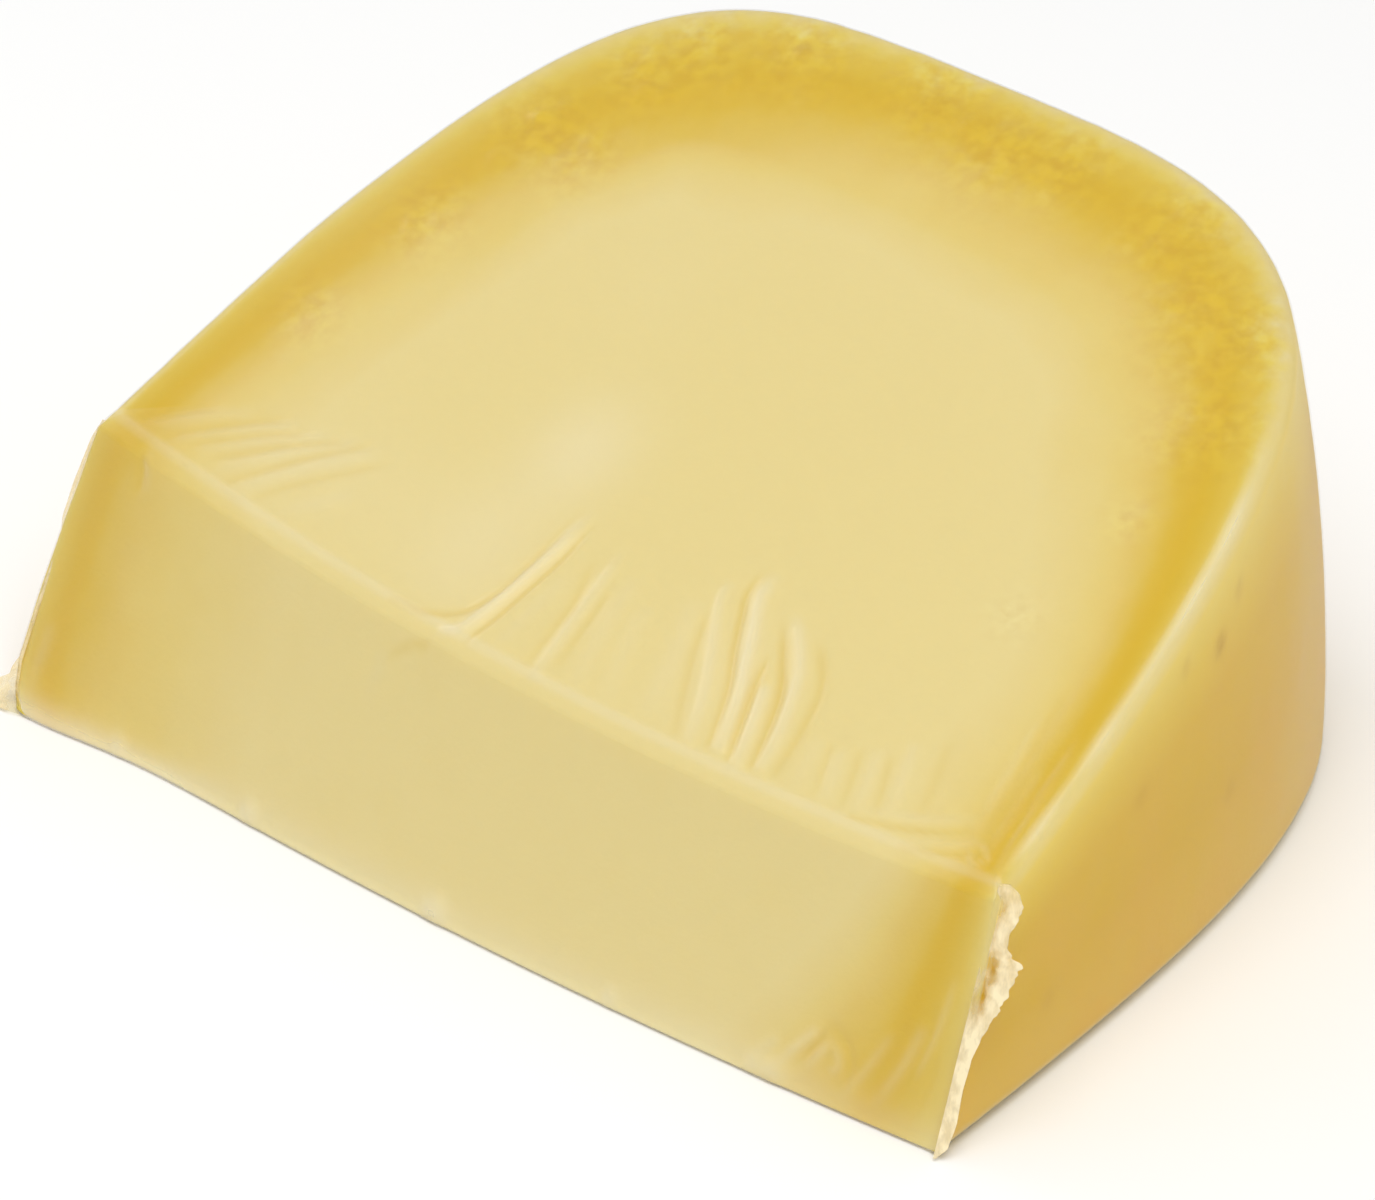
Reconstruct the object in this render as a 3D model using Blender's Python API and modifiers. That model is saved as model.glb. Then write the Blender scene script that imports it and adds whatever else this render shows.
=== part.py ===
"""Gouda: a sixteenth of a wheel with its pointed nose cut off, sealed in clear shrink film.

The piece lies on one of its two radial cuts. X runs along the wheel's axis, Y from the nose cut
out to the rim, and Z up. The film hugs the cheese all over, so the sealed pack is one solid, with
the film's folds and its two welded seams as relief. Sizes are in metres.

Shapes are worked out in wheel terms: x along the axis, r away from the axis, and the angle of a
radial plane above the lower cut. The axis lies at y = 0, z = 0 until the piece is set on its origin.
"""

from math import cos, pi, radians, sin

import bmesh
import bpy
import numpy as np
from mathutils import Matrix, Vector

# The wheel and the sector cut from it
WHEEL_HEIGHT = 0.115
WHEEL_RADIUS = 0.145
SECTOR_ANGLE = radians(22.5)
CROWN_SLOPE = -0.0756
SQUARENESS = {"right": (3.556, 4.951), "left": (3.865, 3.745)}
CORE_RADIUS = 0.0073

# The nose cut: its radius on each radial cut, how far its ends bow back, and where it is nearest the axis
NOSE_TOP_RADIUS = 0.0623
NOSE_TOP_BOW = 0.0039
NOSE_TOP_LEAST = 0.66
NOSE_BOTTOM_RADIUS = 0.0484
NOSE_BOTTOM_BOW = 0.0027
NOSE_BOTTOM_LEAST = 0.50

# The origin is under the middle of the pack
ORIGIN_X = -0.0009
ORIGIN_Y = 0.0974

# Fineness of the mesh
SECTION_SAMPLES = 40001
WHEEL_POINTS = 72
NOSE_POINTS = 22
SECTOR_STEPS = 9
FOLD_POINTS = 9

# The film drawn tight round the edges, and its folds
EDGE_ROUND = 0.0021
EDGE_SEGMENTS = 3
SHARP_ANGLE = radians(40)
FOLD_SINK = 0.0001
FOLD_END_SHARE = 0.16
EDGE_LINE_INSET = 0.0011

# The two welded seams of the film, one up each side of the nose cut
SEAM_THICKNESS = 0.0007
SEAM_ROOT = 0.0024
SEAM_CELLS = (34, 5)
SEAM_START = 0.03
LEFT_SEAM_WIDTH = 0.0011
TAB_LENGTH = 0.0046
TAB_HEIGHT = 0.0052
RIGHT_SEAM_WIDTH = 0.0021
RIGHT_SEAM_RAGGED = 0.0008

FILM_COLOUR = (0.78, 0.60, 0.22, 1.0)
FILM_ROUGHNESS = 0.22


def clear_scene():
    """Removes everything that the scene starts with."""
    for obj in list(bpy.data.objects):
        bpy.data.objects.remove(obj, do_unlink=True)


def new_collection(name):
    collection = bpy.data.collections.new(name)
    bpy.context.scene.collection.children.link(collection)
    return collection


def film_wrapped_cheese():
    """Pale yellow cheese seen through glossy clear film."""
    material = bpy.data.materials.new("film_wrapped_cheese")
    material.use_nodes = True
    shader = material.node_tree.nodes["Principled BSDF"]
    shader.inputs["Base Color"].default_value = FILM_COLOUR
    shader.inputs["Roughness"].default_value = FILM_ROUGHNESS
    shader.inputs["Metallic"].default_value = 0.0
    return material


def rim_radius(x):
    """The wheel's full radius at x: its crown is a little fuller on the left."""
    return WHEEL_RADIUS + CROWN_SLOPE * x


def nose_radius(x, angle):
    """Radius of the nose cut at x, on the radial plane at that angle: each x has one straight line down the cut."""
    u = 2 * x / WHEEL_HEIGHT
    top = NOSE_TOP_RADIUS + NOSE_TOP_BOW * (u - NOSE_TOP_LEAST) ** 2
    bottom = NOSE_BOTTOM_RADIUS + NOSE_BOTTOM_BOW * (u - NOSE_BOTTOM_LEAST) ** 2
    rise = top * sin(SECTOR_ANGLE)
    lean = top * cos(SECTOR_ANGLE) - bottom
    return bottom * rise / (rise * cos(angle) - lean * sin(angle))


def wheel_point(x, r, angle):
    """The place of a point given in wheel terms."""
    return Vector((x, r * cos(angle), r * sin(angle)))


def wheel_section():
    """The wheel's rounded section as a superellipse, from the axis out along the right flat and back, as many points (x, r)."""
    t = np.linspace(0.0, pi, SECTION_SAMPLES)
    on_right = np.cos(t) >= 0
    across = np.where(on_right, SQUARENESS["right"][0], SQUARENESS["left"][0])
    out = np.where(on_right, SQUARENESS["right"][1], SQUARENESS["left"][1])
    x = np.sign(np.cos(t)) * np.abs(np.cos(t)) ** (2 / across) * WHEEL_HEIGHT / 2
    r = CORE_RADIUS + (rim_radius(x) - CORE_RADIUS) * np.abs(np.sin(t)) ** (2 / out)
    return x, r


def flat_x(r, side):
    """Where the wheel's flat on that side lies along the axis, at radius r."""
    x, curve_r = wheel_section()
    half = x > 0 if side == "right" else x < 0
    order = np.argsort(curve_r[half])
    return float(np.interp(r, curve_r[half][order], x[half][order]))


def piece_outline(angle):
    """The piece's outline on the radial plane at that angle: out along the right flat, over the rim, back and along the nose.

    The points along the wheel's section are evenly spaced, and so are those along the nose."""
    x, r = wheel_section()
    kept = r > nose_radius(x, angle)
    x, r = x[kept], r[kept]
    length = np.concatenate([[0.0], np.cumsum(np.hypot(np.diff(x), np.diff(r)))])
    stops = np.linspace(0.0, length[-1], WHEEL_POINTS)
    round_wheel = list(zip(np.interp(stops, length, x), np.interp(stops, length, r)))
    across = np.linspace(x[-1], x[0], NOSE_POINTS + 2)[1:-1]
    along_nose = [(nose_x, nose_radius(nose_x, angle)) for nose_x in across]
    return round_wheel + along_nose


def wedge(collection):
    """The cheese itself: a loft through its outlines on evenly turned radial planes, with its edges rounded."""
    mesh = bpy.data.meshes.new("wedge")
    bm = bmesh.new()
    rings = []
    for step in range(SECTOR_STEPS + 1):
        angle = SECTOR_ANGLE * step / SECTOR_STEPS
        rings.append([bm.verts.new(wheel_point(x, r, angle)) for x, r in piece_outline(angle)])
    bm.faces.new(rings[0])
    bm.faces.new(rings[-1])
    for low, high in zip(rings, rings[1:]):
        for i in range(len(low)):
            bm.faces.new((low[i - 1], low[i], high[i], high[i - 1]))
    bmesh.ops.recalc_face_normals(bm, faces=bm.faces)
    bm.to_mesh(mesh)
    bm.free()
    obj = bpy.data.objects.new("wedge", mesh)
    collection.objects.link(obj)
    bevel = obj.modifiers.new("tight_edges", "BEVEL")
    bevel.width = EDGE_ROUND
    bevel.segments = EDGE_SEGMENTS
    bevel.limit_method = "ANGLE"
    bevel.angle_limit = SHARP_ANGLE
    settle(obj)
    return obj


def settle(obj):
    """Gives the object the mesh that its modifiers, or its curve, make of it. Returns the mesh object."""
    graph = bpy.context.evaluated_depsgraph_get()
    mesh = bpy.data.meshes.new_from_object(obj.evaluated_get(graph))
    if obj.type == "MESH":
        obj.modifiers.clear()
        obj.data = mesh
        return obj
    bm = bmesh.new()
    bm.from_mesh(mesh)
    bmesh.ops.remove_doubles(bm, verts=bm.verts, dist=1e-6)
    bm.to_mesh(mesh)
    bm.free()
    solid = bpy.data.objects.new(obj.name + "_solid", mesh)
    for collection in obj.users_collection:
        collection.objects.link(solid)
    solid.matrix_world = obj.matrix_world
    bpy.data.objects.remove(obj, do_unlink=True)
    return solid


def arc_points(start, end, bow):
    """Points on the shallow arc from start to end, which stands off its chord by bow to the right."""
    start, end = Vector(start), Vector(end)
    chord = end - start
    sideways = Vector((chord.y, -chord.x)).normalized()
    shares = [i / (FOLD_POINTS - 1) for i in range(FOLD_POINTS)]
    return [start + chord * s + sideways * (bow * sin(pi * s)) for s in shares]


def film_fold(collection, name, points, width, height):
    """One fold of the film on the upper cut: a spindle along the points (x, r), low and half sunk in the cheese."""
    curve = bpy.data.curves.new(name, "CURVE")
    curve.dimensions = "3D"
    curve.bevel_depth = width / 2
    curve.bevel_resolution = 1
    curve.use_fill_caps = True
    spline = curve.splines.new("POLY")
    spline.points.add(len(points) - 1)
    for i, (target, (x, r)) in enumerate(zip(spline.points, points)):
        target.co = (x, r, 0.0, 1.0)
        target.radius = FOLD_END_SHARE + (1 - FOLD_END_SHARE) * sin(pi * i / (len(points) - 1)) ** 0.7
    obj = bpy.data.objects.new(name, curve)
    collection.objects.link(obj)
    flatten = Matrix.Diagonal((1.0, 1.0, 2 * height / width, 1.0))
    sink = Matrix.Translation((0.0, 0.0, -FOLD_SINK))
    obj.matrix_world = Matrix.Rotation(SECTOR_ANGLE, 4, "X") @ sink @ flatten
    bpy.context.view_layer.update()
    return settle(obj)


def behind_nose(x, back):
    """A point (x, r) of the upper cut, that far behind its front edge."""
    return (x, nose_radius(x, SECTOR_ANGLE) + back)


def corner_fan(collection):
    """Fine folds that fan out from the left front corner."""
    count = 7
    for i in range(count):
        share = i / (count - 1)
        x = -0.0515 + 0.0205 * share
        heading = radians(40 + 8 * share)
        length = 0.0085 + 0.0070 * sin(pi * (0.15 + 0.75 * share))
        start = behind_nose(x, 0.0030)
        end = (start[0] + length * cos(heading), start[1] + length * sin(heading))
        film_fold(collection, f"fan_{i}", arc_points(start, end, 0.0006), 0.0011, 0.0003)


def middle_folds(collection):
    """A strong double fold that starts at the middle of the front edge, and two soft ones beside it."""
    for i, (x, lean, length, width, height) in enumerate(
        (
            (-0.0062, 0.0018, 0.0195, 0.0016, 0.0006),
            (-0.0036, 0.0022, 0.0165, 0.0012, 0.0004),
            (0.0036, -0.0020, 0.0150, 0.0018, 0.0004),
            (0.0076, -0.0022, 0.0150, 0.0016, 0.0003),
        )
    ):
        start = behind_nose(x, 0.0026)
        end = (start[0] + lean, start[1] + length)
        film_fold(collection, f"middle_{i}", arc_points(start, end, -0.0006), width, height)


def leaf_folds(collection):
    """A group of strong folds that rises from the front edge and closes to a point, like the veins of a leaf."""
    count = 8
    for i in range(count):
        share = i / (count - 1)
        start = behind_nose(0.0212 + 0.0100 * share, 0.0028)
        back = 0.0135 + 0.0065 * sin(pi * (0.15 + 0.6 * share))
        end = behind_nose(0.0135 + 0.0072 * share, back)
        bow = -0.0010 + 0.0042 * share
        film_fold(collection, f"leaf_{i}", arc_points(start, end, bow), 0.0013, 0.0006)


def right_folds(collection):
    """Short folds along the front edge, and long ones beside the right edge, where the film gathers at the corner."""
    for i in range(5):
        start = behind_nose(0.0366 + 0.0022 * i, 0.0028)
        end = behind_nose(0.0350 + 0.0021 * i, 0.0066 + 0.0010 * i)
        film_fold(collection, f"short_{i}", arc_points(start, end, 0.0), 0.0010, 0.0003)
    for i in range(2):
        start = behind_nose(0.0527 + 0.0013 * i, 0.0036)
        end = behind_nose(0.0514 + 0.0013 * i, 0.0180 - 0.0014 * i)
        film_fold(collection, f"corner_{i}", arc_points(start, end, 0.0003), 0.0010, 0.0003)


def edge_fold(collection):
    """The film drawn up into a bright line along the right edge of the upper cut."""
    radii = np.linspace(NOSE_TOP_RADIUS + 0.0035, 0.113, 17)
    points = [(flat_x(r, "right") - EDGE_LINE_INSET, r) for r in radii]
    film_fold(collection, "edge_line", points, 0.0014, 0.0006)


def seam(collection, name, side, outward, width_at, ripple):
    """A welded seam of the film: a thin strip up that side's edge of the nose cut.

    width_at gives how far it stands out at each height, and ripple how far it waves from side to side."""
    ends = []
    for angle, edge_radius in ((0.0, NOSE_BOTTOM_RADIUS), (SECTOR_ANGLE, NOSE_TOP_RADIUS)):
        x = flat_x(edge_radius, side)
        ends.append(wheel_point(x, nose_radius(x, angle), angle))
    foot, head = ends
    rise = head - foot
    outward = Vector(outward).normalized()
    normal = rise.cross(outward).normalized()
    bpy.ops.mesh.primitive_grid_add(x_subdivisions=SEAM_CELLS[0], y_subdivisions=SEAM_CELLS[1], size=2.0)
    obj = bpy.context.object
    obj.name = name
    for vertex in obj.data.vertices:
        up = SEAM_START + (1 - SEAM_START) * (vertex.co.x + 1) / 2
        out = (vertex.co.y + 1) / 2
        reach = (SEAM_ROOT + width_at(up)) * out - SEAM_ROOT
        wave = ripple * out * sin(11.0 * up + 2.0 * out)
        vertex.co = foot + rise * up + outward * reach + normal * wave
    solidify = obj.modifiers.new("film_gauge", "SOLIDIFY")
    solidify.thickness = SEAM_THICKNESS
    solidify.offset = 0.0
    settle(obj)
    for owner in list(obj.users_collection):
        owner.objects.unlink(obj)
    collection.objects.link(obj)


def left_seam_width(up):
    """Narrow all the way down, then a tab at the foot."""
    height = up * NOSE_TOP_RADIUS * sin(SECTOR_ANGLE)
    tab = 1 / (1 + (height / TAB_HEIGHT) ** 4)
    return LEFT_SEAM_WIDTH + (TAB_LENGTH - LEFT_SEAM_WIDTH) * tab + 0.0002 * sin(17 * up)


def right_seam_width(up):
    """Wide and ragged, widest above its middle, and narrow at the foot."""
    full = 0.35 + 0.65 * sin(pi * min(1.0, 0.12 + 0.85 * up)) ** 0.8
    ragged = 0.6 * sin(13 * up) + 0.4 * sin(31 * up + 1.3)
    return RIGHT_SEAM_WIDTH * full + RIGHT_SEAM_RAGGED * ragged * full


def join_film(pack, film):
    """Fuses the film's folds and seams onto the wedge with one union, and removes them."""
    union = pack.modifiers.new("film", "BOOLEAN")
    union.operation = "UNION"
    union.operand_type = "COLLECTION"
    union.collection = film
    union.solver = "EXACT"
    settle(pack)
    for obj in list(film.objects):
        bpy.data.objects.remove(obj, do_unlink=True)


def build():
    clear_scene()
    collection = new_collection("gouda")
    film = new_collection("film_relief")
    pack = wedge(collection)
    pack.name = "gouda_in_film"
    pack.data.name = pack.name
    corner_fan(film)
    middle_folds(film)
    leaf_folds(film)
    right_folds(film)
    edge_fold(film)
    seam(film, "left_seam", "left", (-1.0, -0.12, 0.0), left_seam_width, 0.0003)
    seam(film, "right_seam", "right", (0.97, -0.25, 0.0), right_seam_width, 0.0005)
    join_film(pack, film)
    bpy.data.collections.remove(film)
    pack.data.transform(Matrix.Translation((-ORIGIN_X, -ORIGIN_Y, 0.0)))
    pack.data.materials.clear()
    pack.data.materials.append(film_wrapped_cheese())
    pack.data.shade_smooth()
    pack.data.set_sharp_from_angle(angle=SHARP_ANGLE)


build()
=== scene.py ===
"""A piece of gouda sealed in clear shrink film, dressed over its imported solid.

The cheese, the film skin and the film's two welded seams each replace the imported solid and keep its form.
Shapes are worked out in wheel terms and in millimetres: x along the wheel's axis, r away from the axis, and
the angle of a radial plane above the lower cut. The piece lies on that cut, with its nose cut to the front.
"""

import math

import bpy
import numpy as np
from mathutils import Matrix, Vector


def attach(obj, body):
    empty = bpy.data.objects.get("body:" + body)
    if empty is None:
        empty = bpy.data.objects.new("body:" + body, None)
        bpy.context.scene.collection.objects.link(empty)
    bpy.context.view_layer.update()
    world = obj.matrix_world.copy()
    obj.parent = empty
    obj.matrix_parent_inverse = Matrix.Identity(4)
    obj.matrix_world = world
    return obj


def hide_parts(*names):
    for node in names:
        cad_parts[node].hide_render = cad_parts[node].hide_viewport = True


bl_info = {
    "name": "Gouda in film",
    "version": (1, 0, 0),
    "blender": (4, 5, 0),
    "location": "View3D > Sidebar > Gouda",
    "description": "Makes a film-wrapped piece of gouda over its packed solid",
    "category": "Mesh",
}

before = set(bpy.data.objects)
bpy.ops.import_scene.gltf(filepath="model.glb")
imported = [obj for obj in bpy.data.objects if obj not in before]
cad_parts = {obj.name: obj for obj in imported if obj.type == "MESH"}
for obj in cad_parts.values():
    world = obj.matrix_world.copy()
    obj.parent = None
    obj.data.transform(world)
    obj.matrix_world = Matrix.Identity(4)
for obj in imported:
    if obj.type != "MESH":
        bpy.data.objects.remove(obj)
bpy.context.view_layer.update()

MM = 0.001

# The wheel and the nose cut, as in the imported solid, in millimetres
CROWN_SLOPE = -0.0756
SQUARENESS = {"right": (3.556, 4.951), "left": (3.865, 3.745)}
CORE_RADIUS = 7.3
NOSE_TOP_RADIUS = 62.3
NOSE_TOP_BOW = 3.9
NOSE_TOP_LEAST = 0.66
NOSE_BOTTOM_RADIUS = 48.4
NOSE_BOTTOM_BOW = 2.7
NOSE_BOTTOM_LEAST = 0.50
ORIGIN = np.array((-0.9, 97.4, 0.0))
SECTION_SAMPLES = 16001

# The nose's own edges are rounded by this share of the rim's rounding
NOSE_EDGE = 0.3
# How far the left corner has sagged, as share of the height, millimetres to the left and millimetres
# forwards, and how far along the nose and along the rind that reaches
SAG = (
    (0.0, 0.6, 2.6),
    (0.08, 2.2, 1.8),
    (0.17, 3.3, 1.0),
    (0.45, 3.4, 0.4),
    (0.7, 3.0, 0.0),
    (0.9, 2.0, 0.0),
    (1.0, 1.2, 0.0),
)
SAG_ALONG_NOSE = 12.0
SAG_ALONG_RIND = 35.0

# Columns round the piece, and the middle of its cuts, where the spokes meet
CORNER_COLUMNS = 8
WHEEL_COLUMNS = 350
NOSE_COLUMNS = 400
MIDDLE_X = 0.0
MIDDLE_RADIUS = 104.0
# Each part of a ring ends before the corner by this many times the other part's inset
CORNER_CLEARANCE = 1.15
# Rings over either edge, and up the wall as shares of its height
EDGE_RINGS = 7
WALL_RINGS = (*np.linspace(0, 0.34, 15)[1:], *np.linspace(0.34, 0.97, 24)[1:], 0.985, 0.993)
# Rings on either cut as shares of the way in, closest together near the front edge of the upper one
LOWER_CUT_RINGS = np.array((0.9, 0.7, 0.5, 0.3, 0.14, 0.05))
UPPER_CUT_RINGS = np.array((*np.linspace(0, 0.56, 58)[1:], *(1 - 0.44 * np.linspace(1, 0.06, 12)[1:])))
# Places on the wheel's section from which the depth under the rind is measured, and how far in front of the
# nose cut they begin
RIND_SAMPLES = 2100
RIND_OVERHANG = 6.0

# The film's folds on the upper cut, as places (x, back) in millimetres, back being counted from the front
# edge. A fold is its places, its width, and its height as a share of the strongest one's; a groove's is
# below zero.
CORNER_FAN = (
    (((-52.7, 0.7), (-49.6, 3.9), (-46.3, 6.8)), 0.60, -0.27),
    (((-50.3, 1.2), (-46.4, 5.2), (-42.0, 8.4)), 0.90, 0.27),
    (((-47.9, 1.6), (-43.3, 6.1), (-38.4, 9.8)), 0.60, -0.35),
    (((-46.9, 1.8), (-41.8, 6.3), (-36.5, 10.1)), 0.80, 0.30),
    (((-45.8, 1.9), (-40.3, 6.4), (-34.6, 10.0)), 0.60, -0.32),
    (((-44.0, 2.0), (-38.4, 7.0), (-32.6, 10.8)), 0.85, 0.30),
    (((-42.3, 2.3), (-36.5, 7.4), (-30.4, 11.4)), 0.60, -0.38),
    (((-40.6, 1.8), (-35.2, 7.4), (-29.4, 12.0)), 0.85, 0.30),
    (((-39.2, 0.8), (-34.0, 7.2), (-28.4, 12.6)), 0.60, -0.35),
    (((-37.3, 1.0), (-33.4, 6.0), (-26.8, 12.4)), 0.90, 0.27),
    (((-35.4, 1.2), (-32.0, 5.2), (-25.1, 12.1)), 0.60, -0.27),
    (((-31.2, 1.4), (-28.7, 4.2), (-26.2, 6.9)), 0.90, 0.16),
)
MIDDLE_FOLDS = (
    (((-7.9, -0.7), (-6.4, 0.4), (-5.5, 3.2), (-4.7, 7.2), (-3.9, 12.0), (-3.2, 18.0)), 0.54, 0.72),
    (((-15.0, -0.4), (-11.0, 0.1), (-7.8, 1.8), (-6.1, 4.8), (-5.3, 8.9), (-4.5, 18.4)), 0.42, -0.50),
    (((-5.0, -0.4), (-4.2, 2.8), (-3.5, 7.0), (-2.8, 11.0), (-2.2, 17.2)), 0.40, -0.54),
    (((-1.6, 1.2), (-1.2, 6.0), (-0.6, 11.0)), 0.80, 0.16),
    (((2.1, 1.0), (1.9, 5.2), (1.6, 8.6), (0.2, 13.6)), 0.60, -0.30),
    (((3.7, 0.2), (3.3, 4.6), (2.9, 8.9), (2.3, 15.8)), 0.58, 0.44),
    (((4.9, 2.2), (4.4, 7.2), (4.0, 11.4)), 0.60, -0.28),
    (((7.8, 1.2), (6.2, 7.9), (5.4, 14.0)), 1.00, 0.20),
    (((11.6, 1.2), (9.4, 7.0), (8.4, 12.0)), 1.00, 0.16),
    (((16.0, 2.2), (14.1, 9.2), (12.0, 14.5)), 1.10, 0.20),
)
LEAF_FOLDS = (
    (((19.8, 1.2), (17.6, 5.4), (15.6, 9.6), (14.0, 14.0)), 0.60, -0.34),
    (((21.6, 1.0), (20.0, 5.0), (18.0, 8.9), (16.0, 12.4), (14.4, 15.4), (14.0, 17.9)), 0.60, 0.46),
    (((23.4, 1.6), (21.3, 7.1), (19.0, 11.2), (17.4, 14.4), (16.1, 17.2), (16.1, 20.0)), 0.46, -0.62),
    (((24.8, 1.6), (22.9, 7.0), (21.5, 9.7), (19.7, 13.5), (17.9, 17.0), (17.4, 20.6)), 0.70, 0.80),
    (((26.0, 1.2), (24.3, 5.8), (23.2, 9.0), (22.4, 12.4)), 0.42, -0.66),
    (((27.2, 0.8), (25.9, 4.9), (25.1, 7.2), (24.3, 9.6)), 0.66, 0.70),
    (((28.5, 1.4), (27.0, 6.4), (25.8, 9.4), (24.1, 12.0), (20.9, 16.4)), 0.50, -0.66),
    (((29.5, 1.6), (28.7, 5.5), (27.5, 9.0), (26.2, 12.0), (24.0, 14.9), (21.6, 17.4)), 0.64, 0.68),
    (((31.0, 1.6), (30.3, 6.7), (28.9, 11.6), (25.4, 16.0)), 0.60, -0.44),
)
RIGHT_FOLDS = (
    (((33.6, 1.4), (33.0, 4.0), (32.2, 6.6)), 0.80, 0.16),
    (((35.6, 1.4), (34.6, 4.2), (33.6, 7.0)), 0.50, -0.20),
    (((36.9, 1.2), (36.0, 3.8), (35.0, 6.6)), 0.70, 0.26),
    (((38.6, 1.4), (37.6, 4.4), (36.4, 7.4)), 0.50, -0.24),
    (((40.2, 1.6), (39.2, 4.8), (38.0, 8.2)), 0.70, 0.28),
    (((41.8, 2.0), (40.6, 5.0), (39.3, 8.0)), 0.50, -0.26),
    (((43.1, 2.6), (41.8, 6.6), (40.6, 10.2)), 0.70, 0.28),
    (((45.6, 3.6), (44.6, 7.4), (43.2, 11.8)), 0.60, -0.24),
    (((40.1, 0.4), (46.6, 1.8), (51.9, 4.1)), 0.36, -0.44),
    (((41.0, 1.6), (46.8, 3.0), (51.4, 5.2)), 0.60, 0.24),
    (((46.1, -0.5), (50.0, 0.5), (53.3, 2.1)), 0.36, -0.46),
    (((46.8, 0.6), (50.2, 1.5), (53.0, 3.0)), 0.50, 0.26),
    (((52.9, 2.6), (52.5, 6.0), (51.7, 11.0)), 0.60, -0.26),
    (((53.7, 2.2), (53.3, 6.4), (52.7, 12.4)), 0.50, 0.26),
    (((51.9, 3.6), (51.3, 9.0), (50.3, 16.0), (49.6, 22.0)), 0.40, -0.34),
    (((50.8, 6.0), (50.1, 11.0), (49.2, 17.5)), 0.40, 0.24),
    (((53.0, 9.0), (52.3, 15.0), (51.5, 23.0)), 0.40, -0.30),
    (((54.9, 0.6), (54.4, 5.0), (53.8, 9.8), (53.5, 17.6)), 0.42, -0.40),
    (((55.4, 0.8), (54.8, 5.0), (54.3, 9.8), (53.8, 16.6)), 0.40, 0.34),
    (((56.2, 2.4), (55.6, 6.6), (55.0, 11.0), (54.4, 16.2)), 0.36, -0.34),
    (((52.2, 1.4), (53.1, 0.5), (53.9, 1.4), (53.2, 2.4), (52.3, 1.9)), 0.36, 0.40),
)
# The same on the nose cut, as places (x, height above the table)
FRONT_FOLDS = (
    (((35.2, 0.8), (37.0, 2.6), (38.8, 4.2)), 0.60, 0.34),
    (((39.0, 2.0), (40.8, 4.4), (42.4, 6.4)), 0.55, 0.52),
    (((40.5, 2.4), (41.9, 4.4), (43.3, 6.3)), 0.38, -0.56),
    (((42.1, 2.8), (43.0, 4.4), (43.8, 5.6)), 0.50, 0.44),
    (((43.1, 6.9), (45.0, 6.0), (46.1, 4.3), (45.6, 2.4), (43.6, 1.9)), 0.45, -0.50),
    (((43.8, 5.4), (44.8, 4.6), (44.9, 3.5), (43.9, 2.8)), 0.45, 0.36),
    (((47.6, 2.2), (49.6, 6.0), (51.4, 10.2)), 0.90, -0.36),
    (((49.6, 2.2), (51.5, 6.4), (52.8, 10.6)), 0.60, 0.40),
    (((51.6, 3.0), (52.8, 7.0), (53.7, 12.6)), 0.50, -0.36),
    (((46.0, 1.4), (48.0, 4.8), (49.8, 8.8)), 0.50, 0.34),
    (((53.2, 1.4), (54.2, 4.4), (54.9, 8.2)), 0.40, -0.36),
    (((52.9, 6.0), (54.0, 10.0), (54.8, 15.6)), 0.40, 0.30),
    (((-50.2, 26.4), (-49.3, 25.3), (-48.9, 23.8), (-49.3, 22.4)), 0.60, -0.55),
    (((-49.0, 26.2), (-48.0, 24.9), (-47.6, 23.0)), 0.50, 0.18),
    (((-55.0, 2.0), (-54.2, 5.0), (-54.0, 8.4)), 0.80, 0.24),
    (((-14.6, 16.8), (-14.0, 19.0), (-13.6, 21.0)), 0.90, 0.12),
    (((-12.9, 20.8), (-10.6, 22.5), (-8.2, 23.2)), 0.50, -0.34),
)
# The folds on the upper cut lie between these distances behind the front edge
FOLDS_BACK = (-6.0, 26.0)
FOLD_POINTS = 24
# Small bulges of gathered film at the foot of the nose cut, as x and size, and their height above the table
FOOT_BULGES = ((-26.2, 1.2), (-1.5, 1.5), (36.4, 0.9), (38.4, 1.3), (-44.0, 1.0), (20.0, 0.9))
BULGES_UP = 0.9
# Slow swells of the whole surface, as height, seed, number of waves, shortest and longest wavelength
SWELLS = ((0.05, 3, 14, 14, 40), (0.012, 5, 24, 3, 7))
# The ribbon of film along the upper cut's right edge: its height, and how milky it is, which also paints in
# the highlight along that edge
RIBBON_HEIGHT = 0.20
RIBBON_MILK_AND_HIGHLIGHT = 1.15

# Blisters under the film lie in patches, as x, back, spread and number
BLISTER_PATCHES = (
    (-39.6, 51.3, 3.5, 18), (-34.0, 50.9, 3.0, 12), (-30.9, 68.5, 3.5, 21), (-34.6, 62.6, 3.0, 15),
    (-21.2, 73.9, 4.0, 24), (-4.5, 76.6, 4.0, 21), (5.8, 73.0, 4.0, 21), (12.5, 74.0, 3.5, 15),
    (28.1, 71.9, 4.0, 21), (40.2, 62.0, 4.5, 27), (34.8, 65.1, 3.5, 15), (44.0, 52.0, 3.5, 18),
    (-46.1, 20.5, 2.5, 9), (-43.0, 36.0, 3.0, 12), (43.9, 39.6, 1.5, 4), (40.5, 25.8, 1.5, 4),
)
BLISTER_SEED = 11

# Milky patches on the upper cut that paint in the film's soft sheen, as x, back, spread across and back, and
# how milky it is
SHEENS = (
    (-11.0, 9.0, 6.5, 9.0, 0.09),
    (-9.0, 23.0, 5.5, 6.5, 0.14),
    (-26.0, 8.0, 14.0, 7.0, 0.04),
    (-16.0, 42.0, 7.0, 9.0, 0.02),
    (20.0, 8.0, 5.0, 8.0, 0.04),
    (-50.0, 34.0, 7.0, 22.0, 0.04),
)
# How milky the film is where it is clear
CLEAR_HAZE = 0.005
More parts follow.
